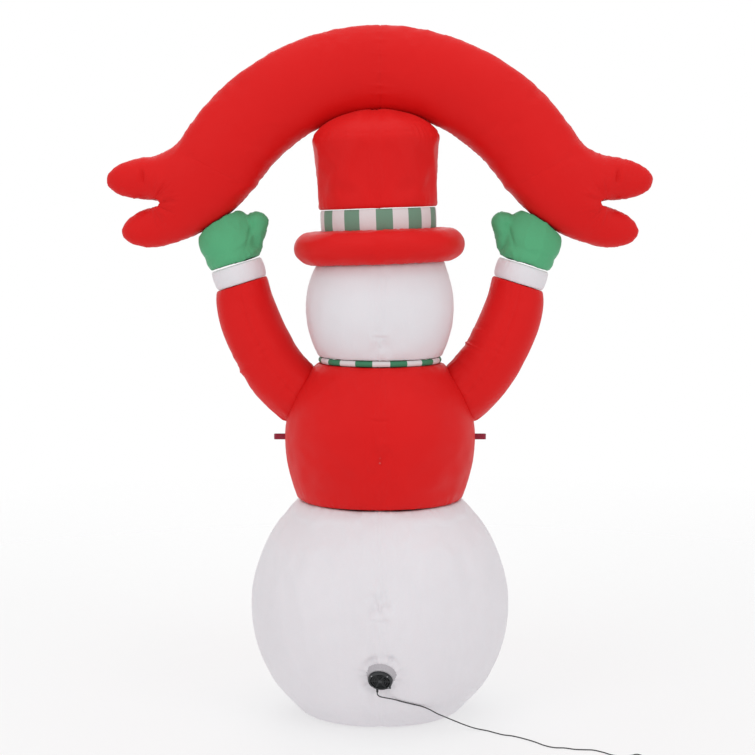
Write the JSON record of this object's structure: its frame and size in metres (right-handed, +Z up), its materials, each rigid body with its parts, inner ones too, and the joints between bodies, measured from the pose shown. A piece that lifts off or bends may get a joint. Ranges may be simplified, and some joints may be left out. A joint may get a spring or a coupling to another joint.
{
  "type": "inflatable yard snowman",
  "caption": "Inflatable snowman in top hat and jacket that holds a fork-ended arched banner overhead, with a blower in its back and a low-voltage cord.",
  "frame": {"origin": "centre of the bounding box on the ground, measured without the power cord", "axes": "+Z up, -Y the way the face looks, +Y the back with the blower, +X the snowman's own left"},
  "size_m": [1.946, 1.227, 2.4001],
  "materials": {
    "white_cloth": "satin",
    "red_cloth": "satin",
    "green_cloth": "satin",
    "striped_cloth": "satin",
    "orange_cloth": "satin",
    "black_cloth": "satin",
    "webbing": "matte",
    "tie_tape": "matte",
    "blower_plastic": "matte",
    "tie_plastic": "satin",
    "lamp_plastic": "gloss",
    "lead_jacket": "matte",
    "cord_jacket": "matte",
    "adapter_plastic": "satin",
    "steel": "satin",
    "bush_brass": "satin"
  },
  "bodies": {
    "root": {"base_panel": "white_cloth", "lower_ball": "white_cloth", "torso": "red_cloth", "neck_scarf": "striped_cloth", "head": "white_cloth", "hat_brim": "red_cloth", "hat_band": "striped_cloth", "hat_crown": "red_cloth", "left_sleeve": "red_cloth", "right_sleeve": "red_cloth", "left_cuff": "white_cloth", "right_cuff": "white_cloth", "left_mitten": "green_cloth", "right_mitten": "green_cloth", "banner_arch": "red_cloth", "left_banner_end": "red_cloth", "right_banner_end": "red_cloth", "left_tether_loop": "webbing", "right_tether_loop": "webbing", "carrot_nose": "orange_cloth", "coal_eyes": "black_cloth", "coal_mouth": "black_cloth", "jacket_buttons": "black_cloth", "scarf_tail": "striped_cloth", "ball_tie": "tie_tape", "torso_tie": "tie_tape", "head_tie": "tie_tape", "lamp_lead": "lead_jacket", "led_lamps": "lamp_plastic", "blower_sleeve": "white_cloth", "sleeve_tie": "tie_plastic", "blower_housing": "blower_plastic", "intake_grille": "blower_plastic", "grille_screws": "steel", "outlet_grille": "blower_plastic", "fan_motor": "steel", "motor_screws": "steel", "motor_bush": "bush_brass", "cord_gland": "cord_jacket", "power_cord": "cord_jacket", "cord_coil": "cord_jacket", "coil_tie": "cord_jacket", "cord_tail": "cord_jacket", "plug_relief": "cord_jacket", "adapter_body": "adapter_plastic", "adapter_prongs": "steel"},
    "impeller": {"impeller": "blower_plastic", "impeller_shaft": "steel"}
  },
  "joints": [
    {"name": "impeller_spin", "type": "hinge", "parent": "root", "child": "impeller", "pos_m": [0, 0.452, 0.212], "axis": [0.1167, 0.8305, -0.5446], "continuous": true}
  ]
}
